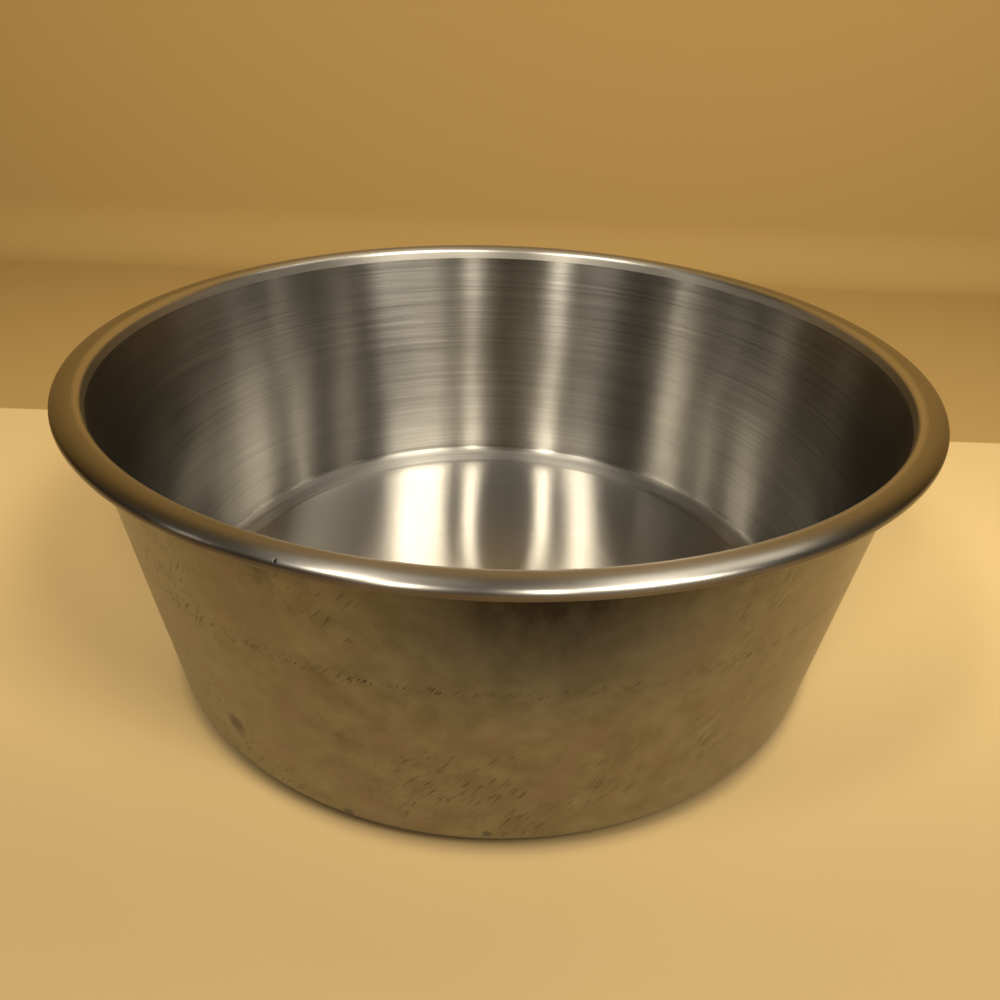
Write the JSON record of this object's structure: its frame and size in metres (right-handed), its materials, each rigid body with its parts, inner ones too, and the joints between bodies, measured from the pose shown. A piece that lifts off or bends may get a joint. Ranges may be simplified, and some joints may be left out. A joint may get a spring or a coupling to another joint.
{
  "type": "mud pan",
  "caption": "Round tapered stainless steel basin with a flat base and a wide outward-curled rim, drawn from one sheet, for mixing and carrying wet plaster or joint compound.",
  "frame": {"origin": "centre of the base's underside, on the surface that the pan stands on", "axes": "+Z is the pan's axis, from the base up through the open mouth; X and Y are equal, because the pan is round"},
  "size_m": [0.356, 0.356, 0.136],
  "materials": {
    "steel": "satin stainless steel with fine brush lines round the inside"
  },
  "bodies": {
    "root": {"pan": "steel"}
  },
  "joints": []
}
